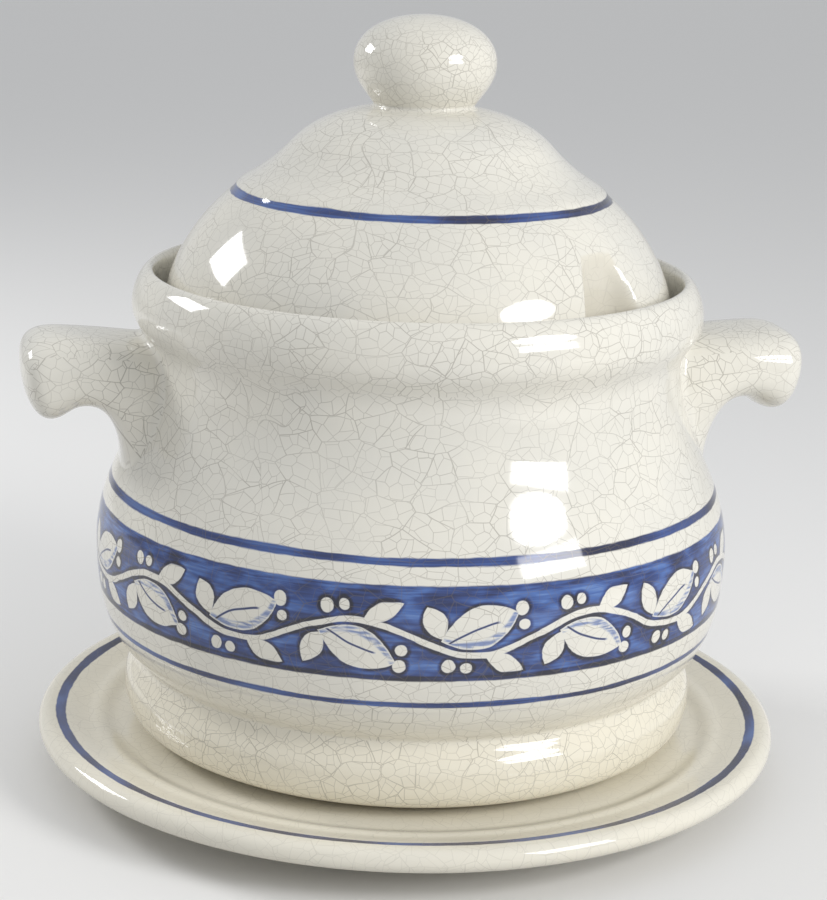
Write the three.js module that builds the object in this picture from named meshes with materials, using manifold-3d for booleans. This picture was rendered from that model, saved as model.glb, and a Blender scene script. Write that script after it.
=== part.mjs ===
// Soup tureen with a lift-off lid and an underplate, in glazed earthenware.
// Millimetres, +Z up. The origin is the centre of the underplate's resting plane, the handles lie along X,
// and -Y is the front.
import * as THREE from 'three';
import { mergeVertices } from 'three/addons/utils/BufferGeometryUtils.js';
import Module from 'manifold-3d';

const wasm = await Module();
wasm.setup();

// Fits between the pieces
const restGap = 0.3; // under a piece that stands on another
const joinGap = 0.3; // round a piece that is luted to another
const wellClearance = 1; // flat floor of the well beyond the bowl's foot band
const lidClearance = 3.5; // lid edge to the gallery wall
const flangeClearance = 2.2; // lid flange to the bowl's throat

// Underplate
const plateRadius = 146;
const plateHeight = 22.3; // top of the edge bead above the table
const plateBead = 4.4; // section radius of the edge bead
const plateWellDepth = 5.3; // well floor below the bead's top
const plateStepRise = 2.4; // soft step round the well
const plateStepRun = 12;
const plateThickness = 8; // under the well
const plateFootRadius = 100;
const plateFootWidth = 11;

// Bowl, heights above its own foot
const footRadius = 96; // where it stands on the well
const footWidth = 9;
const footRecess = 4; // hollow inside the foot
const footBandRadius = 112; // rounded band above the foot
const footBandHeight = 18.7;
const grooveDepth = 4.5; // soft groove between the band and the belly
const grooveHeight = 29.7;
const bellyRadius = 123;
const bellyHeight = 74.5;
const rimRadius = 109.3;
const neckDepth = 7.3; // neck inside the rim's widest place
const neckHeight = 147.7;
const rimHeight = 166.7; // where the rim is widest
const rimCrest = 13.5; // crest above the widest place
const rimWall = 8.8; // widest place to the gallery wall
const crestOffset = 6.8; // widest place to the crest
const shoulderPull = 0.41; // roundness between the belly and the neck
const bowlWall = 8;
const bowlFloor = 10;
const floorInset = 18; // from the foot's edge to the flat of the floor inside
const galleryDepth = 17.2; // ledge for the lid below the crest

// Handles, measured from the rim's widest place
const handleReach = 42.2;
const handleDrop = 8.9; // crest of the handle below the rim's widest place
const handleDepth = 26.6; // crest to the arch where the fingers go
const handleHook = 5.5; // tip below the arch
const handleRoot = 51.8; // crest to the lower end of the root
const handleWidth = 54;
const handleFullness = 2.9; // how full it stays towards its sides, where 2 is an ellipse
const handleSide = 0.25; // its section at either side, as a share of the middle's
const tipShare = 0.31; // where the tip reaches farthest, from the crest down to the hook
const handleDip = 3; // fall of the top edge from the crest to the root
const rootReach = 4.7; // lower end of the root
const archReach = 17.7;
const crestReach = 29.5;
const hookReach = 31.1;

// Lid, heights above its seat
const lidWall = 7;
const lidEdge = 3; // rounding of the edge
const lidLineRadius = 71; // painted line where the upper tier starts
const lidLineHeight = 46.9;
const tierRun = 8; // shoulder of the upper tier
const tierRise = 6.5;
const waistRadius = 50;
const waistHeight = 64.4;
const crownHeight = 78.4;
const crownRadius = 20.8; // flat seat of the knob
const flangeDepth = 9;
const flangeWall = 6;

// Ladle notch in the lid
const notchAngle = -52.5; // degrees from +X
const notchDepth = 13; // from the lid edge to its flat back
const notchWidth = 16; // of the back
const notchFlare = 40; // degrees that each side opens outwards
const notchCorner = 4; // rounding between the back and a side

// Knob
const knobNeck = 19;
const knobRadius = 27;
const knobWaist = 16.6; // height where it is widest
const knobHeight = 34.2;

// Fineness of the facets
const turnSteps = 48;
const curveSteps = 5;
const handleSlices = 12;
const mergeDistance = 1e-3;

// Places worked out from the sizes above
const wellFloor = plateHeight - plateWellDepth;
const wellRadius = footBandRadius + wellClearance;
const bowlBase = wellFloor + restGap;
const bowlHeight = rimHeight + rimCrest;
const neckRadius = rimRadius - neckDepth;
const crestRadius = rimRadius - crestOffset;
const galleryRadius = rimRadius - rimWall;
const galleryHeight = bowlHeight - galleryDepth;
const throatRadius = neckRadius - bowlWall;
const lidRadius = galleryRadius - lidClearance;
const flangeRadius = throatRadius - flangeClearance;
const flangeInner = flangeRadius - flangeWall;

function point(radius, height) {
  return new THREE.Vector2(radius, height);
}

// How a curve leaves or reaches its end: the shares of its run and rise over which it is pulled straight
function pull(run, rise) {
  return new THREE.Vector2(run, rise);
}

function upright(rise) {
  return pull(0, rise);
}

function level(run) {
  return pull(run, 0);
}

function bend(outline, start, end, leaving, arriving) {
  const way = end.clone().sub(start);
  const first = way.clone().multiply(leaving).add(start);
  const last = end.clone().sub(way.clone().multiply(arriving));
  outline.bezierCurveTo(first.x, first.y, last.x, last.y, end.x, end.y);
}

function lathe(points) {
  const geometry = new THREE.LatheGeometry(points, turnSteps);
  geometry.rotateX(Math.PI / 2);
  return geometry;
}

// A closed geometry as a solid that can be cut and joined
function solid(geometry) {
  const bare = geometry.clone();
  bare.deleteAttribute('normal');
  bare.deleteAttribute('uv');
  const merged = mergeVertices(bare, mergeDistance);
  const index = merged.index.array;
  const triangles = [];
  for (let i = 0; i < index.length; i += 3) {
    const [a, b, c] = index.slice(i, i + 3);
    if (a !== b && b !== c && c !== a) triangles.push(a, b, c);
  }
  return new wasm.Manifold(new wasm.Mesh({
    numProp: 3,
    vertProperties: new Float32Array(merged.attributes.position.array),
    triVerts: new Uint32Array(triangles),
  }));
}

function shell(manifold) {
  const mesh = manifold.getMesh();
  const geometry = new THREE.BufferGeometry();
  geometry.setAttribute('position', new THREE.BufferAttribute(mesh.vertProperties, 3));
  geometry.setIndex(new THREE.BufferAttribute(mesh.triVerts, 1));
  geometry.computeVertexNormals();
  return geometry;
}

function piece(name, geometry, colour) {
  const glaze = new THREE.MeshStandardMaterial({ color: colour, roughness: 0.15, metalness: 0 });
  const mesh = new THREE.Mesh(geometry, glaze);
  mesh.name = name;
  return mesh;
}

function underplate() {
  const under = wellFloor - plateThickness;
  const footInner = plateFootRadius - plateFootWidth;
  const foot = point(plateFootRadius, 0);
  const bead = point(plateRadius - plateBead, plateHeight - plateBead);
  const beadBottom = point(bead.x, plateHeight - 2 * plateBead);
  const beadTop = point(bead.x, plateHeight);
  const stepTop = point(wellRadius + plateStepRun, wellFloor + plateStepRise);
  const stepBottom = point(wellRadius, wellFloor);
  const outline = new THREE.Path();
  outline.moveTo(0, under);
  outline.lineTo(footInner - under / 2, under);
  outline.lineTo(footInner, 0);
  outline.lineTo(foot.x, foot.y);
  bend(outline, foot, beadBottom, pull(0.05, 0.45), pull(0.85, 0.55));
  outline.absarc(bead.x, bead.y, plateBead, -Math.PI / 2, Math.PI / 2, false);
  bend(outline, beadTop, stepTop, level(0.3), level(0.2));
  bend(outline, stepTop, stepBottom, level(0.5), level(0.5));
  outline.lineTo(0, wellFloor);
  return lathe(outline.getPoints(curveSteps));
}

// The bowl's outside, from the foot's outer edge to the crest of the rim
function drawBowlSide(outline) {
  const foot = point(footRadius, 0);
  const band = point(footBandRadius, footBandHeight);
  const groove = point(footBandRadius - grooveDepth, grooveHeight);
  const belly = point(bellyRadius, bellyHeight);
  const neck = point(neckRadius, neckHeight);
  const rim = point(rimRadius, rimHeight);
  bend(outline, foot, band, pull(0.77, 0.27), upright(0.77));
  bend(outline, band, groove, upright(0.5), upright(0.4));
  bend(outline, groove, belly, upright(0.09), upright(0.89));
  bend(outline, belly, neck, upright(shoulderPull), upright(shoulderPull));
  bend(outline, neck, rim, upright(0.47), upright(0.42));
  bend(outline, rim, point(crestRadius, bowlHeight), upright(0.47), level(0.44));
}

function bowl() {
  const recessRadius = footRadius - footWidth;
  const floorEdge = point(footRadius - floorInset, footRecess + bowlFloor);
  const belly = point(bellyRadius - bowlWall, bellyHeight);
  const throat = point(throatRadius, neckHeight);
  const lip = point(galleryRadius, bowlHeight - rimWall / 2);
  const outline = new THREE.Path();
  outline.moveTo(0, footRecess);
  outline.lineTo(recessRadius - footRecess, footRecess);
  outline.lineTo(recessRadius, 0);
  outline.lineTo(footRadius, 0);
  drawBowlSide(outline);
  bend(outline, point(crestRadius, bowlHeight), lip, level(0.6), upright(0.6));
  outline.lineTo(galleryRadius, galleryHeight);
  outline.lineTo(throatRadius, galleryHeight);
  outline.lineTo(throat.x, throat.y);
  bend(outline, throat, belly, upright(shoulderPull), upright(shoulderPull));
  bend(outline, belly, floorEdge, upright(0.42), level(0.42));
  outline.lineTo(0, floorEdge.y);
  return lathe(outline.getPoints(curveSteps));
}

// The bowl's outside as a full solid, grown by the gap that a luted piece keeps
function bowlRoom() {
  const outline = new THREE.Path();
  outline.moveTo(footRadius, 0);
  drawBowlSide(outline);
  const slant = Math.SQRT2; // keeps the gap where the side slopes
  const grown = outline.getPoints(curveSteps).map((at) => point(at.x + joinGap * slant, at.y));
  return solid(lathe([point(0, 0), ...grown, point(0, bowlHeight)]));
}

// The place on a line of points that is nearest to a given point
function nearest(line, at) {
  let best = line[0].clone();
  for (let i = 1; i < line.length; i += 1) {
    const start = line[i - 1];
    const way = line[i].clone().sub(start);
    const share = THREE.MathUtils.clamp(at.clone().sub(start).dot(way) / way.lengthSq(), 0, 1);
    const place = start.clone().addScaledVector(way, share);
    if (place.distanceTo(at) < best.distanceTo(at)) best = place;
  }
  return best;
}

// A closed skin over like outlines, each an upright section at its own place along Y
function loft(sections) {
  const count = sections[0].outline.length;
  const last = sections.length - 1;
  const positions = [];
  const index = [];
  sections.forEach(({ outline, across }, i) => {
    outline.forEach((at, j) => {
      positions.push(at.x, across, at.y);
      if (i === last) return;
      const near = i * count + j;
      const nearNext = i * count + (j + 1) % count;
      index.push(near, nearNext + count, nearNext, near, near + count, nearNext + count);
    });
  });
  const start = last * count;
  THREE.ShapeUtils.triangulateShape(sections[0].outline, []).forEach(([a, b, c]) => index.push(a, b, c));
  THREE.ShapeUtils.triangulateShape(sections[last].outline, []).forEach(([a, b, c]) => {
    index.push(start + a, start + c, start + b);
  });
  const geometry = new THREE.BufferGeometry();
  geometry.setAttribute('position', new THREE.Float32BufferAttribute(positions, 3));
  geometry.setIndex(index);
  return geometry;
}

// A lug on the +X side: a hooked outline that draws in to its core line towards both sides
function handle() {
  const crestHeight = rimHeight - handleDrop;
  const archHeight = crestHeight - handleDepth;
  const hookHeight = archHeight - handleHook;
  const root = point(rimRadius + rootReach, crestHeight - handleRoot);
  const arch = point(rimRadius + archReach, archHeight);
  const hook = point(rimRadius + hookReach, hookHeight);
  const tip = point(rimRadius + handleReach, crestHeight - tipShare * (crestHeight - hookHeight));
  const crest = point(rimRadius + crestReach, crestHeight);
  const rootTop = point(throatRadius, crestHeight - handleDip);
  const outline = new THREE.Path();
  outline.moveTo(throatRadius, root.y);
  outline.lineTo(root.x, root.y);
  bend(outline, root, arch, upright(0.55), level(0.62));
  bend(outline, arch, hook, level(0.43), level(0.43));
  bend(outline, hook, tip, level(0.57), upright(0.5));
  bend(outline, tip, crest, upright(0.73), level(0.62));
  outline.lineTo(rootTop.x, rootTop.y);
  const edge = outline.getPoints(curveSteps);
  const core = [
    point(throatRadius, (root.y + rootTop.y) / 2),
    point(arch.x, (arch.y + crest.y) / 2),
    point(hook.x, (hook.y + crest.y) / 2),
  ];
  const sections = [];
  for (let i = 0; i <= handleSlices; i += 1) {
    const place = Math.sin(Math.PI * (i / handleSlices - 0.5));
    const full = (1 - Math.abs(place) ** handleFullness) ** (1 / handleFullness);
    const share = Math.max(full, handleSide);
    sections.push({
      outline: edge.map((at) => nearest(core, at).lerp(at, share)),
      across: place * handleWidth / 2,
    });
  }
  return shell(solid(loft(sections)).subtract(bowlRoom()));
}

// The lid's outside, from the seat's edge to the flat of the crown
function lidSide() {
  const edge = point(lidRadius, lidEdge);
  const line = point(lidLineRadius, lidLineHeight);
  const tier = point(lidLineRadius - tierRun, lidLineHeight + tierRise);
  const waist = point(waistRadius, waistHeight);
  const crown = point(crownRadius, crownHeight);
  const outline = new THREE.Path();
  outline.moveTo(lidRadius - lidEdge, 0);
  outline.quadraticCurveTo(lidRadius, 0, edge.x, edge.y);
  bend(outline, edge, line, upright(0.33), pull(0.5, 0.21));
  bend(outline, line, tier, pull(0.06, 0.4), pull(0.5, 0.37));
  bend(outline, tier, waist, pull(0.36, 0.27), pull(0.2, 0.27));
  bend(outline, waist, crown, pull(0.18, 0.42), pull(0.5, 0.14));
  return outline.getPoints(curveSteps);
}

// The ladle notch as an upright prism with a flat back and flaring sides, grown by a margin
function notchSolid(margin, bottom) {
  const flare = THREE.MathUtils.degToRad(notchFlare);
  const back = lidRadius - notchDepth - margin;
  const front = lidRadius + notchDepth;
  const halfBack = notchWidth / 2 + margin * (1 / Math.cos(flare) - Math.tan(flare));
  const halfFront = halfBack + (front - back) * Math.tan(flare);
  const corner = notchCorner + margin / 2;
  const side = point(back + corner * Math.cos(flare), halfBack + corner * Math.sin(flare));
  const plan = new THREE.Shape();
  plan.moveTo(front, -halfFront);
  plan.lineTo(front, halfFront);
  plan.lineTo(side.x, side.y);
  plan.quadraticCurveTo(back, halfBack, back, halfBack - corner);
  plan.lineTo(back, corner - halfBack);
  plan.quadraticCurveTo(back, -halfBack, side.x, -side.y);
  const geometry = new THREE.ExtrudeGeometry(plan, {
    depth: crownHeight - bottom,
    bevelEnabled: false,
    curveSegments: curveSteps,
  });
  geometry.translate(0, 0, bottom);
  geometry.rotateZ(THREE.MathUtils.degToRad(notchAngle));
  return solid(geometry);
}

function lid() {
  const side = lidSide();
  const narrower = (lidRadius - lidWall) / lidRadius;
  const lower = (crownHeight - lidWall) / crownHeight;
  const inside = side.map((at) => point(at.x * narrower, at.y * lower));
  const dome = inside.filter((at) => at.x < flangeInner).reverse();
  const turned = solid(lathe([
    point(0, crownHeight - lidWall),
    ...dome,
    point(flangeInner, -flangeDepth),
    point(flangeRadius, -flangeDepth),
    point(flangeRadius, 0),
    ...side,
    point(0, crownHeight),
  ]));
  const filled = solid(lathe([point(0, 0), ...side, point(0, crownHeight)]));
  const nicheWalls = notchSolid(lidWall, 0).intersect(filled);
  return shell(turned.add(nicheWalls).subtract(notchSolid(0, -2 * flangeDepth)));
}

function knob() {
  const neck = point(knobNeck, 0);
  const widest = point(knobRadius, knobWaist);
  const outline = new THREE.Path();
  outline.moveTo(0, 0);
  outline.lineTo(neck.x, neck.y);
  bend(outline, neck, widest, pull(0.36, 0.25), upright(0.44));
  bend(outline, widest, point(0, knobHeight), upright(0.61), level(0.58));
  return lathe(outline.getPoints(curveSteps));
}

// Assembly: the bowl stands in the underplate's well, and the lid on the bowl's gallery
const creamGlaze = 0xe6e2d6;
const warmGlaze = 0xe8e2d0;

const lidGroup = new THREE.Group();
lidGroup.position.z = galleryHeight + restGap;
const lidKnob = piece('lid_knob', knob(), creamGlaze);
lidKnob.position.z = crownHeight + joinGap;
lidGroup.add(piece('lid', lid(), creamGlaze), lidKnob);

const bowlGroup = new THREE.Group();
bowlGroup.position.z = bowlBase;
const lug = handle();
const leftHandle = piece('handle_left', lug, creamGlaze);
leftHandle.rotation.z = Math.PI;
bowlGroup.add(piece('tureen_bowl', bowl(), creamGlaze), piece('handle_right', lug, creamGlaze), leftHandle);
bowlGroup.add(lidGroup);

const tureen = new THREE.Group();
tureen.add(piece('underplate', underplate(), warmGlaze), bowlGroup);

export default tureen;
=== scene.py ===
import math

import bpy
import numpy as np
from mathutils import Matrix, Vector


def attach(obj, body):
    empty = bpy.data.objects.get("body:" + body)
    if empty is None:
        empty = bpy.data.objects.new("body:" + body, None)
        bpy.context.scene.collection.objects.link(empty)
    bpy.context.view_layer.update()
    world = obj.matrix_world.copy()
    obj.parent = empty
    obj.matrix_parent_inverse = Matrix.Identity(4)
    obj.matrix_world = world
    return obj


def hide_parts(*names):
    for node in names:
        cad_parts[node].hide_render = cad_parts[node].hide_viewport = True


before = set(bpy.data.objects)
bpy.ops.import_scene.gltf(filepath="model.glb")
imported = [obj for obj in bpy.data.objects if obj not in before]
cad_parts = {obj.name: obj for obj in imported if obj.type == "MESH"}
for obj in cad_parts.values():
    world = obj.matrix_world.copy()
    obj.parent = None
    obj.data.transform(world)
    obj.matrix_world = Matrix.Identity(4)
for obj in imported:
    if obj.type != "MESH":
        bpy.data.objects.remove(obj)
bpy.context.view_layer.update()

# Sizes are in millimetres, as in the part's source, and become metres where a mesh is made
MM = 0.001
MERGE = 0.01 * MM
TURN_STEPS = 192

PLATE_RADIUS = 145.95
PLATE_FOOT = 0.02  # just above the table
PLATE_UNDER = 9.0
BEAD = 4.4
BEAD_HEIGHT = 17.85
BEAD_STEPS = 14
WELL_FLOOR = 17.0

# Heights on the bowl count from its own foot
BOWL_BASE = 17.3
FOOT_RADIUS = 96.0
FLOOR_HEIGHT = 14.0
BELLY_HEIGHT = 74.5
NECK_HEIGHT = 147.7
SHOULDER = (0, 0.41)
THROAT_RADIUS = 94.0
GALLERY_RADIUS = 100.5
GALLERY_HEIGHT = 163.0

# Heights on the lid count from its seat
LID_SEAT = 180.6
LID_RADIUS = 97.0
LID_WALL = 7.0
LID_EDGE = 3.0
CROWN = 78.4
CROWN_RADIUS = 20.8
FLANGE_INNER = 85.8
FLANGE_OUTER = 91.8
FLANGE_DEPTH = 9.0
LID_STEPS = 160
LID_VOXEL = 1.0 * MM
KNOB_BASE = 259.3
KNOB_SINK = 1.2  # how far the knob goes into the crown, which hides the seam
KNOB_STEPS = 128

NOTCH_ANGLE = math.radians(-52.5)
NOTCH_BACK = 84.0
NOTCH_HALF = 8.0  # half the width of its back
NOTCH_FLARE = math.radians(40)
NOTCH_REACH = 13.0  # how far the cut goes past the lid's edge
NOTCH_CORNER = 3.0

LUG_INSIDE = 97.0  # where a lug's outline starts, inside the wall
LUG_WIDTH = 54.0
LUG_FULLNESS = 2.9
LUG_EDGE = 0.12  # least share of the outline at its sides
LUG_VOXEL = 0.8 * MM
ROOT_BOTTOM = 94.0
ROOT_TOP = 175.0
ROOT_WIDTH = 84.0
ROOT_DEPTH = 4.5  # how far the root goes into the wall
ROOT_SOFTNESS = 10  # how far out the fillet is softened
ROOT_SINK = 0.22  # how far the root's slice lies under the bowl's skin

# Heights of the paint and the crazing count from the table
PLATE_LINE = 137.1
LOWER_LINE = 65.9
BORDER = 92.5
UPPER_LINE = 117.3
LID_LINE_RADIUS = 71.1
LID_LINE_HEIGHT = 227.6
LID_SLOPE = (0.578, 0.816)
VINE_RADIUS = 121.5
VINE_REPEATS = 18
GORE_SHIFT = 61.7  # sets the crazing of one gore apart from the next
HOOK_OUT, HOOK_HEIGHT, HOOK_RADIUS = 128, 161, 19  # the middle of a lug's hook, and its radius

FLOOR_SIZE = 80
FLOOR_DROP = 0.05 * MM


# Turned outlines

def bend(outline, end, leaving, arriving, steps=14):
    """Carries an outline along one curve, pulled straight at its ends by shares of its run and rise."""
    start = outline[-1]
    run, rise = end[0] - start[0], end[1] - start[1]
    first = (start[0] + run * leaving[0], start[1] + rise * leaving[1])
    last = (end[0] - run * arriving[0], end[1] - rise * arriving[1])
    for step in range(1, steps + 1):
        t = step / steps
        shares = ((1 - t) ** 3, 3 * t * (1 - t) ** 2, 3 * t * t * (1 - t), t ** 3)
        points = (start, first, last, end)
        outline.append(tuple(sum(share * at[k] for share, at in zip(shares, points)) for k in (0, 1)))


def corner(outline, at, towards, size, steps=4):
    """Carries an outline straight to a corner and round it."""
    at = Vector(at)
    enter = at + (Vector(outline[-1]) - at).normalized() * size
    leave = at + (Vector(towards) - at).normalized() * size
    for step in range(steps + 1):
        t = step / steps
        outline.append(tuple(enter * (1 - t) ** 2 + at * 2 * t * (1 - t) + leave * t * t))


def plate_outline():
    outline = [(0, PLATE_UNDER), (40, PLATE_UNDER)]
    corner(outline, (84.5, PLATE_UNDER), (89, PLATE_FOOT), 1.5)
    corner(outline, (89, PLATE_FOOT), (100, PLATE_FOOT), 0.8)
    corner(outline, (100, PLATE_FOOT), (102.1, 6.1), 1.0)
    bead = PLATE_RADIUS - BEAD
    bend(outline, (bead, BEAD_HEIGHT - BEAD), (0.05, 0.45), (0.85, 0.55))
    for step in range(1, BEAD_STEPS + 1):
        turn = math.radians(-90 + 180 * step / BEAD_STEPS)
        outline.append((bead + BEAD * math.cos(turn), BEAD_HEIGHT + BEAD * math.sin(turn)))
    bend(outline, (125, 19.4), (0.3, 0), (0.2, 0))
    bend(outline, (113, WELL_FLOOR), (0.5, 0), (0.5, 0))
    outline += [(80, WELL_FLOOR), (40, WELL_FLOOR), (0, WELL_FLOOR)]
    return outline


def bowl_side(outline):
    """The bowl's outside from the foot to the crest of the rim, above its own foot."""
    bend(outline, (112, 18.7), (0.77, 0.27), (0, 0.77))
    bend(outline, (107.5, 29.7), (0, 0.5), (0, 0.4))
    bend(outline, (123, BELLY_HEIGHT), (0, 0.09), (0, 0.89), 22)
    bend(outline, (102, NECK_HEIGHT), SHOULDER, SHOULDER, 24)
    bend(outline, (109.3, 166.7), (0, 0.47), (0, 0.42))
    bend(outline, (102.5, 180.2), (0, 0.47), (0.44, 0))


def bowl_outline():
    outline = [(0, 4), (40, 4)]
    corner(outline, (83, 4), (87, 0), 1.2)
    corner(outline, (87, 0), (FOOT_RADIUS, 0), 0.8)
    corner(outline, (FOOT_RADIUS, 0), (108, 5), 0.8)
    bowl_side(outline)
    throat = (THROAT_RADIUS, NECK_HEIGHT)
    ledge = (THROAT_RADIUS, GALLERY_HEIGHT)
    bend(outline, (GALLERY_RADIUS, 175.8), (0.6, 0), (0, 0.6), 8)
    corner(outline, (GALLERY_RADIUS, GALLERY_HEIGHT), ledge, 1.6)
    corner(outline, ledge, throat, 1.8)
    outline.append(throat)
    bend(outline, (115, BELLY_HEIGHT), SHOULDER, SHOULDER, 22)
    bend(outline, (78, FLOOR_HEIGHT), (0, 0.42), (0.42, 0), 22)
    outline += [(40, FLOOR_HEIGHT), (0, FLOOR_HEIGHT)]
    return outline


def lid_side():
    """The lid's outside from the seat's edge to the flat of the crown, above its seat."""
    outline = [(LID_RADIUS - LID_EDGE, 0)]
    corner(outline, (LID_RADIUS, 0), (LID_RADIUS, LID_EDGE), LID_EDGE, 6)
    bend(outline, (71, 46.9), (0, 0.33), (0.5, 0.21), 24)
    bend(outline, (63, 53.4), (0.06, 0.4), (0.5, 0.37))
    bend(outline, (50, 64.4), (0.36, 0.27), (0.2, 0.27))
    bend(outline, (CROWN_RADIUS, CROWN), (0.18, 0.42), (0.5, 0.14), 18)
    return outline


def lid_outline():
    side = lid_side()
    narrower, lower = (LID_RADIUS - LID_WALL) / LID_RADIUS, (CROWN - LID_WALL) / CROWN
    inside = [(radius * narrower, height * lower) for radius, height in reversed(side)]
    outline = [(0, CROWN - LID_WALL)] + [at for at in inside if at[0] < FLANGE_INNER]
    outline += [(FLANGE_INNER, -FLANGE_DEPTH), (FLANGE_OUTER, -FLANGE_DEPTH), (FLANGE_OUTER, 0)]
    return outline + side + [(0, CROWN)]


def knob_outline():
    outline = [(0, -KNOB_SINK), (CROWN_RADIUS, -KNOB_SINK), (20.4, -0.1)]
    bend(outline, (19.2, 1.1), (0.6, 0.1), (0.1, 0.6), 5)
    bend(outline, (26.95, 16.6), (0.36, 0.25), (0, 0.44))
    bend(outline, (0, 34.15), (0, 0.61), (0.58, 0), 22)
    return outline


def lug_outline():
    """The hooked side view of a lug, above the bowl's foot, with its root inside the bowl's wall."""
    outline = [(LUG_INSIDE, 106), (114, 106)]
    bend(outline, (127, 131.2), (0, 0.55), (0.62, 0))
    bend(outline, (140.4, 125.7), (0.43, 0), (0.43, 0))
    bend(outline, (151.5, 147.8), (0.57, 0), (0, 0.5))
    bend(outline, (138.8, 157.8), (0, 0.73), (0.62, 0))
    outline.append((LUG_INSIDE, 154.8))
    return outline


# The line inside a lug that its outline draws in to
LUG_CORE = np.array([(LUG_INSIDE, 130.4), (127, 144.5), (140.4, 141.8)])


# Modelling

def begin(name):
    """A new piece in edit mode, with a single point on the axis."""
    bpy.ops.object.select_all(action="DESELECT")
    bpy.ops.mesh.primitive_plane_add(size=MM)
    piece = bpy.context.object
    piece.name = name
    bpy.ops.object.mode_set(mode="EDIT")
    bpy.ops.mesh.select_mode(type="VERT")
    bpy.ops.mesh.select_all(action="SELECT")
    bpy.ops.mesh.merge(type="CENTER")
    return piece


def draw(outline, base):
    """Moves the point to an outline's start and extrudes it along the outline, upright in the XZ plane."""
    bpy.ops.transform.translate(value=(outline[0][0] * MM, 0, (outline[0][1] + base) * MM))
    for start, end in zip(outline, outline[1:]):
        step = ((end[0] - start[0]) * MM, 0, (end[1] - start[1]) * MM)
        bpy.ops.mesh.extrude_vertices_move(TRANSFORM_OT_translate={"value": step})
    bpy.ops.mesh.select_all(action="SELECT")


def close_up(shade=True):
    """Merges what meets, turns the faces outwards and leaves edit mode."""
    bpy.ops.mesh.select_all(action="SELECT")
    bpy.ops.mesh.remove_doubles(threshold=MERGE)
    bpy.ops.mesh.normals_make_consistent(inside=False)
    bpy.ops.object.mode_set(mode="OBJECT")
    if shade:
        bpy.ops.object.shade_smooth()


def turned(name, outline, base, steps):
    """A piece thrown on the axis."""
    piece = begin(name)
    draw(outline, base)
    bpy.ops.mesh.spin(steps=steps, angle=math.tau, center=(0, 0, 0), axis=(0, 0, 1))
    close_up()
    return piece


def places_of(piece):
    """The points of a piece, in millimetres."""
    points = np.empty(len(piece.data.vertices) * 3)
    piece.data.vertices.foreach_get("co", points)
    return points.reshape(-1, 3) / MM


def put_back(piece, places):
    """Moves the points of a piece to new places, in millimetres."""
    piece.data.vertices.foreach_set("co", (places * MM).ravel())
    piece.data.update()


def nearest_on(line, places):
    """The nearest place on a line of points to each of many places, and its distance along the line."""
    ways = np.diff(line, axis=0)
    lengths = np.hypot(*ways.T)
    starts = np.concatenate(([0], np.cumsum(lengths)[:-1]))
    least = np.full(len(places), np.inf)
    along = np.zeros(len(places))
    found = np.zeros((len(places), 2))
    for start, way, length, before in zip(line, ways, lengths, starts):
        share = np.clip((places - start) @ way / length ** 2, 0, 1)
        at = start + share[:, None] * way
        gap = np.hypot(*(places - at).T)
        closer = gap < least
        least[closer] = gap[closer]
        along[closer] = before + share[closer] * length
        found[closer] = at[closer]
    return found, along


def mark_along(piece, outline, base):
    """Gives each point its distance along the turned outline, for patterns that follow it."""
    x, y, z = places_of(piece).T
    along = nearest_on(np.array(outline), np.stack((np.hypot(x, y), z - base), axis=1))[1]
    piece.data.attributes.new("along", "FLOAT", "POINT").data.foreach_set("value", along)


def draw_in(piece):
    """Draws a lug's outline in to its core line towards both sides, which makes it round across."""
    places = places_of(piece)
    upright = places[:, ::2] - (0, BOWL_BASE)
    core = nearest_on(LUG_CORE, upright)[0]
    side = np.clip(np.abs(places[:, 1]) / (LUG_WIDTH / 2), 0, 1)
    share = np.maximum((1 - side ** LUG_FULLNESS) ** (1 / LUG_FULLNESS), LUG_EDGE)
    places[:, ::2] = core + (upright - core) * share[:, None] + (0, BOWL_BASE)
    put_back(piece, places)


def modify(piece, kind, **settings):
    """Adds a modifier to a piece and applies it."""
    bpy.ops.object.select_all(action="DESELECT")
    piece.select_set(True)
    bpy.context.view_layer.objects.active = piece
    modifier = piece.modifiers.new(kind.title(), kind)
    for setting, value in settings.items():
        setattr(modifier, setting, value)
    bpy.ops.object.modifier_apply(modifier=modifier.name)


def combine(piece, operation, tool):
    """Cuts or joins with another piece, which is used up."""
    modify(piece, "BOOLEAN", operation=operation, object=tool, solver="EXACT")
    bpy.data.objects.remove(tool)


def remesh(piece, voxel):
    modify(piece, "REMESH", mode="VOXEL", voxel_size=voxel, use_smooth_shade=True)


def smooth(piece, times, group=""):
    modify(piece, "SMOOTH", factor=0.5, iterations=times, vertex_group=group)


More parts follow.
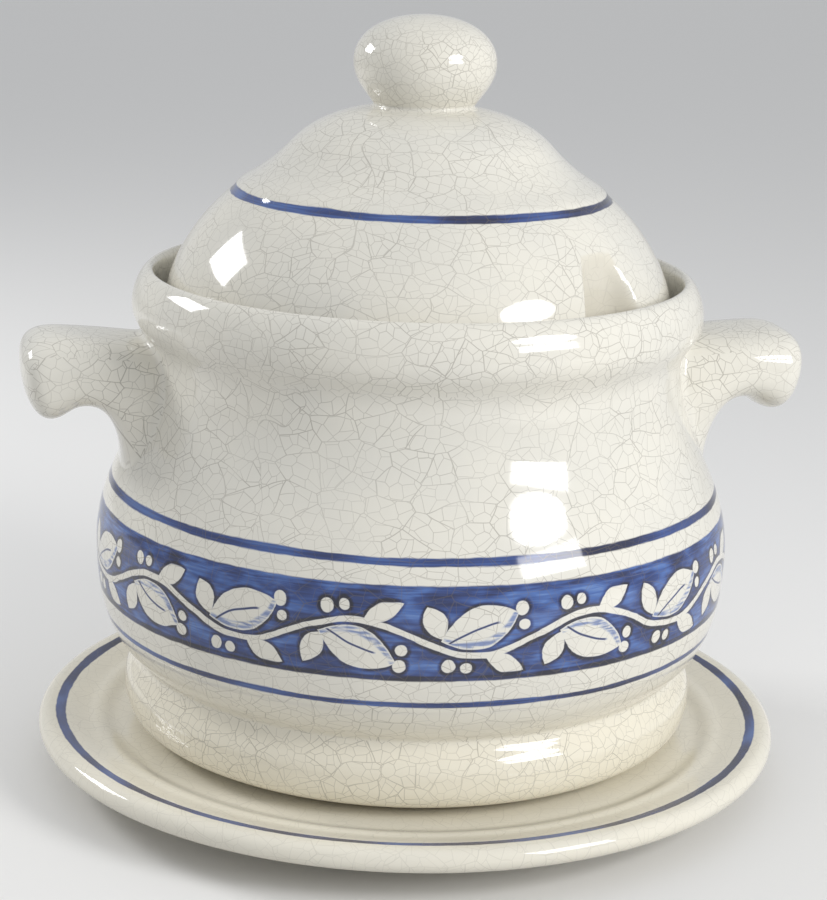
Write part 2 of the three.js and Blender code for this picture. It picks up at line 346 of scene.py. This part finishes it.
def notch_block(name, margin, bottom, top):
    """The ladle notch as an upright block with a flat back and flaring sides, grown by a margin."""
    back, front = NOTCH_BACK - margin, LID_RADIUS + NOTCH_REACH
    half_back = NOTCH_HALF + margin * (1 / math.cos(NOTCH_FLARE) - math.tan(NOTCH_FLARE))
    half_front = half_back + (front - back) * math.tan(NOTCH_FLARE)
    rounding = NOTCH_CORNER + margin / 2
    plan = [(front, -half_front), (front, half_front)]
    corner(plan, (back, half_back), (back, -half_back), rounding, 8)
    corner(plan, (back, -half_back), (front, -half_front), rounding, 8)
    plan.append(plan[0])
    piece = begin(name)
    draw(plan, 0)
    bpy.ops.mesh.remove_doubles(threshold=MERGE)
    bpy.ops.mesh.edge_face_add()
    # The plan was drawn upright, so it is laid down and turned to its place
    for turn, axis in ((math.radians(90), "X"), (-NOTCH_ANGLE, "Z")):
        bpy.ops.transform.rotate(value=turn, orient_axis=axis, center_override=(0, 0, 0))
    bpy.ops.transform.translate(value=(0, 0, (LID_SEAT + bottom) * MM))
    bpy.ops.mesh.extrude_region_move(TRANSFORM_OT_translate={"value": (0, 0, (top - bottom) * MM)})
    close_up(False)
    return piece


def soften_lip(lid):
    """Rubs the notch's right-hand edge rounder than its left one."""
    x, y, z = places_of(lid).T
    c, s = math.cos(NOTCH_ANGLE), math.sin(NOTCH_ANGLE)
    out, side = x * c + y * s, y * c - x * s
    flank = (side - NOTCH_HALF) * math.cos(NOTCH_FLARE) - (out - NOTCH_BACK) * math.sin(NOTCH_FLARE)
    lip = (np.abs(flank) < 7) & (side > 5) & (out > NOTCH_BACK - 6) & (z > LID_SEAT + 4)
    group = lid.vertex_groups.new(name="soft_lip")
    group.add(np.flatnonzero(lip).tolist(), 1, "REPLACE")
    smooth(lid, 70, group.name)
    lid.vertex_groups.clear()


def make_lid():
    lid = turned("lid_glazed", lid_outline(), LID_SEAT, LID_STEPS)
    # The notch's walls end just under the lid's skin, so that no two faces fall together
    core = [(0, 0.4)] + [(radius * 0.994, 0.4 + height * 0.99) for radius, height in lid_side()]
    core.append((0, core[-1][1]))
    niche = notch_block("niche_walls", LID_WALL, 0.2, CROWN)
    combine(niche, "INTERSECT", turned("lid_core", core, LID_SEAT, LID_STEPS))
    combine(lid, "UNION", niche)
    combine(lid, "DIFFERENCE", notch_block("notch_cut", 0, -2 * FLANGE_DEPTH, CROWN))
    remesh(lid, LID_VOXEL)
    smooth(lid, 9)
    soften_lip(lid)
    return lid


def off_wall(lug, side):
    """The points of a lug, and how far each is outside the bowl's wall."""
    places = places_of(lug)
    radii, heights = np.array(side).T
    girth = np.hypot(places[:, 0], places[:, 1])
    return places, girth - np.interp(places[:, 2] - BOWL_BASE, heights, radii)


def soften_root(lug, side):
    """Widens the fillet between a lug and the bowl's wall, and less so farther out."""
    out = off_wall(lug, side)[1]
    group = lug.vertex_groups.new(name="soft_root")
    for near in range(ROOT_SOFTNESS):
        ring = (out >= (near or -2)) & (out < near + 1)
        group.add(np.flatnonzero(ring).tolist(), 1 - near / ROOT_SOFTNESS, "REPLACE")
    smooth(lug, 70, group.name)
    lug.vertex_groups.clear()


def blend_root(lug, side):
    """Sinks the root's slice just under the bowl's skin, so that only the lug and its fillet stand out."""
    places, out = off_wall(lug, side)
    share = np.clip((out - 0.15) / 1.05, 0, 1)
    sink = np.where(out > -2, ROOT_SINK * (1 - share * share * (3 - 2 * share)), 0)
    places[:, :2] *= 1 - (sink / np.hypot(places[:, 0], places[:, 1]))[:, None]
    put_back(lug, places)


def make_lug(side):
    lug = begin("lug_right")
    draw(lug_outline() + [lug_outline()[0]], BOWL_BASE)
    bpy.ops.mesh.remove_doubles(threshold=MERGE)
    bpy.ops.mesh.edge_face_add()
    bpy.ops.transform.translate(value=(0, -LUG_WIDTH / 2 * MM, 0))
    bpy.ops.mesh.extrude_region_move(TRANSFORM_OT_translate={"value": (0, LUG_WIDTH * MM, 0)})
    close_up(False)
    remesh(lug, LUG_VOXEL)
    draw_in(lug)
    remesh(lug, LUG_VOXEL)
    smooth(lug, 24)
    # A slice of the bowl's wall carries the root, so that the lug flows out of it
    back = LUG_INSIDE + 0.5
    skin = [(radius - 0.05, height) for radius, height in side if ROOT_BOTTOM <= height <= ROOT_TOP]
    ring = [(back, ROOT_BOTTOM), *skin, (back, ROOT_TOP), (back, ROOT_BOTTOM)]
    root = turned("root_ring", ring, BOWL_BASE, TURN_STEPS)
    middle = (ROOT_BOTTOM + ROOT_TOP) / 2
    bpy.ops.object.select_all(action="DESELECT")
    bpy.ops.mesh.primitive_cube_add(size=MM, location=(120 * MM, 0, (BOWL_BASE + middle) * MM),
                                    scale=(80, ROOT_WIDTH, ROOT_TOP - ROOT_BOTTOM - 2))
    combine(root, "INTERSECT", bpy.context.object)
    combine(lug, "UNION", root)
    # The root ends inside the wall and doesn't reach through it into the bowl
    bottom, top = ROOT_BOTTOM - 4, ROOT_TOP + 3
    core = [(radius - ROOT_DEPTH, height) for radius, height in side if bottom <= height <= top]
    core = [(0, bottom), *core, (0, core[-1][1])]
    combine(lug, "DIFFERENCE", turned("root_core", core, BOWL_BASE, TURN_STEPS))
    remesh(lug, LUG_VOXEL)
    smooth(lug, 16)
    soften_root(lug, side)
    blend_root(lug, side)
    return lug


# Shader maths

class Paint:
    """A shader socket that works in expressions, which add the nodes that they need."""

    def __init__(self, tree, socket=None):
        self.tree, self.socket = tree, socket

    def node(self, kind, settings, inputs, output=0):
        made = self.tree.nodes.new(kind)
        for setting, value in settings.items():
            if setting == "stops":
                stops = made.color_ramp.elements
                for stop, (place, shade) in ((stops[0], value[0]), (stops[1], value[-1])):
                    stop.position, stop.color = place, (*shade, 1)
                for place, shade in value[1:-1]:
                    stops.new(place).color = (*shade, 1)
            else:
                setattr(made, setting, value)
        for key, value in inputs.items():
            if isinstance(value, Paint):
                self.tree.links.new(value.socket, made.inputs[key])
            else:
                made.inputs[key].default_value = value
        return Paint(self.tree, made.outputs[output])

    def math(self, operation, *values):
        return self.node("ShaderNodeMath", {"operation": operation}, dict(enumerate(values)))

    def __add__(self, other):
        return self.math("ADD", self, other)

    def __sub__(self, other):
        return self.math("SUBTRACT", self, other)

    def __rsub__(self, other):
        return self.math("SUBTRACT", other, self)

    def __mul__(self, other):
        return self.math("MULTIPLY", self, other)

    def __truediv__(self, other):
        return self.math("DIVIDE", self, other)

    def __pow__(self, other):
        return self.math("POWER", self, other)

    def __mod__(self, other):
        return self.math("FLOORED_MODULO", self, other)

    def __abs__(self):
        return self.math("ABSOLUTE", self)

    __radd__ = __add__
    __rmul__ = __mul__

    def lesser(self, other):
        return self.math("MINIMUM", self, other)

    def greater(self, other):
        return self.math("MAXIMUM", self, other)

    def step(self, low, high):
        """0 below low and 1 above high, with a soft step between them; low and high may change places."""
        return self.node("ShaderNodeMapRange", {"interpolation_type": "SMOOTHSTEP"},
                         {"Value": self, "From Min": low, "From Max": high})

    def parts(self):
        split = self.node("ShaderNodeSeparateXYZ", {}, {"Vector": self}).socket.node
        return [Paint(self.tree, split.outputs[k]) for k in range(3)]

    def vector(self, operation, other):
        return self.node("ShaderNodeVectorMath", {"operation": operation}, {0: self, 1: other})

    def noise(self, size, detail=2.0, output="Fac"):
        """Noise with features of a size in millimetres, the same all ways or one for each axis."""
        sizes = size if isinstance(size, tuple) else (size,) * 3
        return self.node("ShaderNodeTexNoise", {}, {"Vector": self.vector("DIVIDE", sizes), "Scale": 1.0,
                                                    "Detail": detail}, output)

    def mix(self, first, second):
        """A colour between two others, by this share."""
        return self.node("ShaderNodeMix", {"data_type": "RGBA"}, {0: self, 6: first, 7: second}, 2)


def linear(value):
    share = value / 255
    return share / 12.92 if share <= 0.04045 else ((share + 0.055) / 1.055) ** 2.4


def colour(red, green, blue):
    """A colour picked in display values from 0 to 255."""
    return linear(red), linear(green), linear(blue)


def solid(red, green, blue):
    return (*colour(red, green, blue), 1)


IVORY = solid(229, 226, 216)
COOL_IVORY = solid(222, 220, 212)
WARM_IVORY = solid(235, 228, 208)
# A darker, warmer ivory painted on the notch's walls as the shade of the recess
NICHE_SHADE_IVORY = solid(222, 217, 203)
CRAZE = solid(112, 104, 92)
BISQUE = solid(205, 186, 152)
FLOOR_LIGHT = solid(208, 207, 205)
FLOOR_SEEN = solid(236, 235, 233)
COBALT = [(0.0, colour(132, 162, 206)), (0.3, colour(70, 106, 172)), (0.55, colour(37, 65, 128)),
          (0.8, colour(20, 36, 84)), (1.0, colour(11, 17, 44))]


def around(where):
    """A place's distance from the axis, and its height."""
    x, y, z = where.parts()
    return (x * x + y * y) ** 0.5, z


def pair(across, along):
    return across.node("ShaderNodeCombineXYZ", {}, {0: across, 1: along})


def gores(where, count):
    """The surface unrolled in upright gores: its plan in millimetres, and how near the next gore is."""
    radius = around(where)[0]
    along = where.node("ShaderNodeAttribute", {"attribute_name": "along"}, {}, "Fac")
    x, y, z = where.parts()
    turn = (x.math("ARCTAN2", y, x) / math.tau + 0.5) * count
    swayed = turn + (where.noise(26.0, 1.0) - 0.5) * 0.5
    index = swayed.math("FLOOR", swayed)
    girth = radius * (math.tau / count)
    shift = (index % float(count)) * GORE_SHIFT
    plan = pair((turn - index - 0.5) * girth + shift, along + shift * 1.7)
    return plan, (0.5 - abs(swayed - index - 0.5)) * girth


def lug_plan(where):
    """A lug's surface unrolled: round its hooked outline and across it, or flat on its two sides."""
    x, y, z = where.parts()
    out = abs(x) - HOOK_OUT
    up = z - HOOK_HEIGHT
    over = pair(y, out.math("ARCTAN2", up, out) * HOOK_RADIUS)
    flank = where.node("ShaderNodeNewGeometry", {}, {}, "Normal").parts()[1]
    on_flank = flank.math("GREATER_THAN", abs(flank), 0.72)
    choice = {0: on_flank, 4: over, 5: pair(out, up)}
    return on_flank.node("ShaderNodeMix", {"data_type": "VECTOR"}, choice, 1), None


def knob_plan(where):
    return gores(where, 3)[0], None


def crazing(where, plan, seam, cell):
    """Depth of the crazing, 0 to 1: long cracks first, then shorter ones that stop at them."""
    plan = plan.vector("DIVIDE", pair(cell, cell) if isinstance(cell, Paint) else (cell, cell, 1))
    drift = plan.node("ShaderNodeTexNoise", {"noise_dimensions": "2D"},
                      {"Vector": plan, "Scale": 0.4, "Detail": 0.0}, "Color")
    bent = plan.vector("ADD", drift.vector("SUBTRACT", (0.5, 0.5, 0.5)).vector("MULTIPLY", (0.5, 0.5, 0)))
    plates = bent.vector("MULTIPLY", (0.34, 0.5, 0))
    flat = {"voronoi_dimensions": "2D"}
    long_way = bent.node("ShaderNodeTexVoronoi", {**flat, "feature": "DISTANCE_TO_EDGE"},
                         {"Vector": plates, "Scale": 1.0}, "Distance") * cell / 0.42
    shift = bent.node("ShaderNodeTexVoronoi", {**flat, "feature": "F1"},
                      {"Vector": plates, "Scale": 1.0}, "Color").vector("MULTIPLY", (70, 70, 0))
    short_way = bent.node("ShaderNodeTexVoronoi", {**flat, "feature": "DISTANCE_TO_EDGE"},
                          {"Vector": bent.vector("ADD", shift), "Scale": 1.0}, "Distance") * cell
    if seam is not None:
        long_way = long_way.lesser(seam)
    strength = where.noise(22.0, 2.0).step(0.28, 0.68) * 0.55 + 0.45
    long_cracks = long_way.step(0.22, 0.08)
    short_cracks = short_way.step(0.18, 0.06) * 0.8
    return long_cracks.greater(short_cracks) * strength


def in_notch(where):
    """1 on the walls of the lid's ladle notch, 0 on the dome round it: where the notch's painted shade
    goes.
    """
    x, y, z = where.parts()
    c, s = math.cos(NOTCH_ANGLE), math.sin(NOTCH_ANGLE)
    out, side = x * c + y * s - NOTCH_BACK, y * c - x * s
    flank = (abs(side) - NOTCH_HALF) * math.cos(NOTCH_FLARE) - out * math.sin(NOTCH_FLARE)
    return flank.greater(0 - out).step(0.9, 0.2)


def brush_line(where, offset, half):
    """A line brushed on the turning wheel: how far it covers, and how deep its blue is."""
    wander = (where.noise(48.0, 1.0) - 0.5) * 1.1
    swell = where.noise((30.0, 30.0, 300.0), 1.0) * 0.7 + 0.65
    rag = (where.noise((5.0, 5.0, 0.5), 1.0) - 0.5) * 0.5
    cover = (abs(offset - wander) / swell + rag).step(half + 0.28, half - 0.28)
    load = where.noise((42.0, 42.0, 900.0), 2.0).step(0.3, 0.68)
    hairs = where.noise((24.0, 24.0, 0.7), 2.0).step(0.3, 0.7)
    return cover, load * 0.46 + hairs * 0.2 + 0.3


def leaf(u, v, at, turn, length, width):
    """How far a place lies outside a pointed leaf, with its place along and across the leaf."""
    c, s = math.cos(math.radians(turn)), math.sin(math.radians(turn))
    along = (u - at[0]) * c + (v - at[1]) * s
    across = (v - at[1]) * c - (u - at[0]) * s
    share = along / (length / 2)
    return abs(across) - (1 - share * share) * (width / 2), along, across


def berry(u, v, at, radius):
    du, dv = u - at[0], v - at[1]
    return (du * du + dv * dv) ** 0.5 - radius


def vine_border(where, height):
    """A running vine left white in a blue wash, between a broad upper edge and a thin lower one."""
    half = math.tau * VINE_RADIUS / VINE_REPEATS / 2
    x, y, z = where.parts()
    turn = x.math("ARCTAN2", y, x) / math.tau + 0.5
    place = turn * VINE_REPEATS
    flip = (place % 2.0).math("LESS_THAN", place % 2.0, 1.0) * 2 - 1
    hand = where.noise(17.0, 1.0, "Color").vector("SUBTRACT", (0.5, 0.5, 0.5)).parts()
    u = (place % 1.0 - 0.5) * (2 * half) + hand[0] * 2.4
    level = height + 1.2 + hand[1] * 2.6
    v = level * flip
    wave = u * (math.pi / 2 / half)
    stem = abs(v + wave.math("COSINE", wave) * 6.2) - 1.05
    big, along, side = leaf(u, v, (1.6, 3.8), 20, 29, 14.5)
    shade = leaf(u, v, (0.6, 5.8), 20, 29, 13.0)[0]
    small = leaf(u, v, (-14.2, 5.4), 116, 13, 7.8)[0]
    low = leaf(u, v, (10.6, -9.4), -24, 15, 6.8)[0]
    fruit = berry(u, v, (16.4, 10.0), 2.3).lesser(berry(u, v, (17.0, 4.4), 1.9))
    drop = berry(u, v, (-9.0, -10.2), 2.3).lesser(berry(u, v, (-3.0, -11.0), 1.9))
    shapes = stem.lesser(big).lesser(small).lesser(low).lesser(fruit).lesser(drop)
    edge = where.noise((9.0, 9.0, 2.0), 2.0)
    reserved = (shapes + (edge - 0.5) * 0.7).step(0.25, -0.15)
    inside = abs(level + hand[2] * 0.8).step(13.2, 12.6)
    white = reserved * inside
    body = abs(height + (edge - 0.5) * 0.9).step(17.3, 16.7)
    load = where.noise((15.0, 15.0, 6.0), 2.0).step(0.3, 0.7)
    hairs = where.noise((13.0, 13.0, 0.9), 3.0).step(0.3, 0.72)
    pooled = shapes.step(1.9, 0.3) * (where.noise(11.0, 1.0).step(0.36, 0.6) * 0.6 + 0.4)
    lower_edge = height.step(-14.6, -15.4)
    upper_edge = height.step(12.6, 14.4) * hairs
    depth = load * 0.42 + hairs * 0.2 + 0.2 + pooled * 0.6 + lower_edge * 0.36 + upper_edge * 0.16
    # Thin strokes inside the leaves: a midrib, and a soft shade along the lower side
    leafy = big.step(0.0, -0.9)
    midrib = (abs(side + along * along * 0.012) - 0.3).step(0.28, -0.12) * leafy * along.step(7.4, 5.6)
    under = leafy * shade.step(-0.6, 0.6) * where.noise((8.0, 8.0, 1.2), 2.0).step(0.32, 0.6)
    stroke = midrib.greater(under * 0.8)
    cover = body * (1 - white * (1 - stroke * inside))
    depth = depth * (1 - white) + white * (midrib * 0.62 + under * 0.2 + 0.12)
    return cover, depth


def ground(name):
    material = bpy.data.materials.new(name)
    material.use_nodes = True
    start = Paint(material.node_tree)
    place = start.node("ShaderNodeTexCoord", {}, {}, "Object")
    return material, place.node("ShaderNodeVectorMath", {"operation": "SCALE"}, {0: place, "Scale": 1000.0})


def glaze(name, plan, cell, cracks, warm, painted=None, wiped=None, niche=None):
    """Clear crackle glaze over an ivory body, with cobalt under it, bare clay where it was wiped, and
    painted shade on a niche's walls.
    """
    material, where = ground(name)
    mottle = where.noise(38.0, 3.0).step(0.3, 0.7)
    skin = warm(where).mix(mottle.mix(IVORY, COOL_IVORY), WARM_IVORY)
    if painted:
        for cover, depth in painted(where):
            blue = depth.node("ShaderNodeValToRGB", {"stops": COBALT}, {"Fac": depth})
            skin = (cover * 0.96).mix(skin, blue)
    size = cell(where) if callable(cell) else cell
    craze = crazing(where, *plan(where), size) * cracks
    # Painted shade: the notch's walls get a darker, warmer ivory because the recess lies in shade, and
    # their crazing is fainter
    if niche:
        niche_shade = niche(where)
        skin = niche_shade.mix(skin, NICHE_SHADE_IVORY)
        craze = craze * (1 - niche_shade * 0.7)
    skin = craze.mix(skin, CRAZE)
    rough = where.noise(9.0, 2.0) * 0.05 + 0.045
    if wiped:
        bare = wiped(where)
        skin = bare.mix(skin, BISQUE)
        rough = rough + bare * 0.6
    swell = where.noise(30.0, 1.0) * 0.8 + where.noise(8.0, 1.0) * 0.1
    shader = material.node_tree.nodes["Principled BSDF"]
    shader.inputs["IOR"].default_value = 1.52
    bump = swell.node("ShaderNodeBump", {}, {"Strength": 0.35, "Distance": 0.0005, "Height": swell})
    for key, value in (("Base Color", skin), ("Roughness", rough), ("Normal", bump)):
        material.node_tree.links.new(value.socket, shader.inputs[key])
    return material


def bowl_paint(where):
    """The blue on the bowl, which stays on its outside."""
    radius, height = around(where)
    outside = radius.step(116.5, 117.0)
    lines = []
    for line, half in ((LOWER_LINE, 1.1), (UPPER_LINE, 1.35)):
        cover, depth = brush_line(where, height - line, half)
        lines.append((cover * outside, depth))
    cover, depth = vine_border(where, height - BORDER)
    return lines + [(cover * outside, depth)]


def lid_paint(where):
    """The blue on the lid, measured along the dome's slope and kept off its inside."""
    radius, height = around(where)
    out, up = radius - LID_LINE_RADIUS, height - LID_LINE_HEIGHT
    run, rise = LID_SLOPE
    cover, depth = brush_line(where, up * run - out * rise, 1.6)
    return [(cover * (out * run + up * rise).step(-3.0, -2.5), depth)]


def plate_paint(where):
    """The blue on the plate, on its upper side only."""
    radius, height = around(where)
    cover, depth = brush_line(where, radius - PLATE_LINE, 1.9)
    return [(cover * height.step(18.0, 18.5), depth)]


def even_warmth(where):
    return where.noise(60.0, 1.0) * 0.3


def plate_warmth(where):
    return even_warmth(where) + 0.35


def foot_warmth(where):
    return around(where)[1].step(74.0, 30.0) * 0.75 + 0.12


def bowl_cells(where):
    """Closer crazing on the foot and the rim than on the body."""
    height = around(where)[1]
    foot = height.math("LESS_THAN", height, 47.0)
    rim = height.math("GREATER_THAN", height, 172.0)
    return 4.7 - foot * 0.9 - rim * 0.7


def dress(piece, material, body, slot, *nodes):
    piece.data.materials.clear()
    piece.data.materials.append(material)
    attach(piece, body)
    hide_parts(*nodes)


# The pieces
wall = [(FOOT_RADIUS, 0)]
bowl_side(wall)

plate = turned("underplate_glazed", plate_outline(), 0, TURN_STEPS)
bowl = turned("bowl_glazed", bowl_outline(), BOWL_BASE, TURN_STEPS)
lid = make_lid()
knob = turned("knob_glazed", knob_outline(), KNOB_BASE, KNOB_STEPS)
lug_right = make_lug(wall)
bpy.ops.object.select_all(action="DESELECT")
lug_right.select_set(True)
bpy.context.view_layer.objects.active = lug_right
bpy.ops.object.duplicate(linked=False)
lug_left = bpy.context.object
lug_left.name = "lug_left"
bpy.ops.transform.rotate(value=math.pi, orient_axis="Z", center_override=(0, 0, 0))
bpy.ops.object.transform_apply(location=True, rotation=True, scale=True)

for piece, outline, base in ((plate, plate_outline(), 0), (bowl, bowl_outline(), BOWL_BASE),
                             (lid, lid_outline(), LID_SEAT), (knob, knob_outline(), KNOB_BASE)):
    mark_along(piece, outline, base)

plate_glaze = glaze("plate_glaze", lambda where: gores(where, 9), 4.6, 0.18, plate_warmth, plate_paint,
                    wiped=lambda where: around(where)[1].step(0.7, 0.3))
bowl_glaze = glaze("bowl_glaze", lambda where: gores(where, 7), bowl_cells, 0.48, foot_warmth, bowl_paint,
                   wiped=lambda where: around(where)[1].step(18.0, 17.6))
lug_glaze = glaze("lug_glaze", lug_plan, 4.1, 0.5, foot_warmth)
lid_glaze = glaze("lid_glaze", lambda where: gores(where, 6), 4.1, 0.42, even_warmth, lid_paint,
                  niche=in_notch)
knob_glaze = glaze("knob_glaze", knob_plan, 2.9, 0.45, even_warmth)

dress(plate, plate_glaze, "underplate", "underplate_glaze", "underplate")
dress(bowl, bowl_glaze, "tureen", "bowl_glaze", "tureen_bowl")
dress(lug_right, lug_glaze, "tureen", "handle_glaze", "handle_right")
dress(lug_left, lug_glaze, "tureen", "handle_glaze", "handle_left")
dress(lid, lid_glaze, "lid", "lid_glaze", "lid")
dress(knob, knob_glaze, "lid", "knob_glaze", "lid_knob")

# Floor, light and camera
bpy.ops.object.select_all(action="DESELECT")
bpy.ops.mesh.primitive_plane_add(size=FLOOR_SIZE, location=(0, 0, -FLOOR_DROP))
floor = bpy.context.object
floor.name = "floor"
pale = bpy.data.materials.new("pale_floor")
pale.use_nodes = True
# The floor is paler to the eye and in reflections than in the light that it throws back
seen = Paint(pale.node_tree).node("ShaderNodeLightPath", {}, {}, "Is Camera Ray")
seen = seen.greater(seen.node("ShaderNodeLightPath", {}, {}, "Is Glossy Ray"))
matt = pale.node_tree.nodes["Principled BSDF"].inputs
pale.node_tree.links.new(seen.mix(FLOOR_LIGHT, FLOOR_SEEN).socket, matt["Base Color"])
matt["Roughness"].default_value = 0.85
floor.data.materials.append(pale)

world = bpy.data.worlds.new("studio")
world.use_nodes = True
sky = world.node_tree.nodes["Background"].inputs
sky["Color"].default_value = (0.95, 0.97, 1.0, 1)
sky["Strength"].default_value = 0.6
bpy.context.scene.world = world

MIDDLE = Vector((0, 0, 0.14))


def softbox(name, turn, rise, distance, width, height, watts, shape="RECTANGLE"):
    """A panel that faces the tureen, turned from the front towards +X and raised, in degrees."""
    a, b = math.radians(turn), math.radians(rise)
    way = Vector((math.sin(a) * math.cos(b), -math.cos(a) * math.cos(b), math.sin(b)))
    bpy.ops.object.light_add(type="AREA", location=MIDDLE + way * distance)
    lamp = bpy.context.object
    lamp.name = name
    lamp.rotation_euler = way.to_track_quat("Z", "Y").to_euler()
    lamp.data.shape = shape
    lamp.data.size, lamp.data.size_y, lamp.data.energy = width, height, watts


softbox("key_softbox_low", 40, 17.5, 1.3, 0.54, 0.22, 4.2)
softbox("key_softbox_high", 41.5, 30, 1.3, 0.58, 0.3, 5.3, "ELLIPSE")
softbox("side_softbox", -122, 27, 1.3, 0.44, 0.3, 6.0)

# The camera stands where the photograph was taken from
VIEW_TURN, VIEW_PITCH, VIEW_ROLL = math.radians(11), math.radians(14.871), math.radians(1.75)
VIEW_DISTANCE = 0.851
VIEW_HEIGHT = 0.3516
ahead = Vector((math.sin(VIEW_TURN), math.cos(VIEW_TURN), 0))
right = Vector((math.cos(VIEW_TURN), -math.sin(VIEW_TURN), 0))
look = ahead * math.cos(VIEW_PITCH) - Vector((0, 0, math.sin(VIEW_PITCH)))
up = ahead * math.sin(VIEW_PITCH) + Vector((0, 0, math.cos(VIEW_PITCH)))
side_axis = right * math.cos(VIEW_ROLL) + up * math.sin(VIEW_ROLL)
top_axis = up * math.cos(VIEW_ROLL) - right * math.sin(VIEW_ROLL)
bpy.ops.object.camera_add(location=(-VIEW_DISTANCE * ahead.x, -VIEW_DISTANCE * ahead.y, VIEW_HEIGHT))
camera = bpy.context.object
camera.rotation_euler = Matrix((side_axis, top_axis, -look)).transposed().to_euler()
camera.data.sensor_fit = "VERTICAL"
camera.data.sensor_height = 36
camera.data.lens = 90.07
bpy.context.scene.camera = camera
bpy.context.scene.view_settings.view_transform = "Standard"
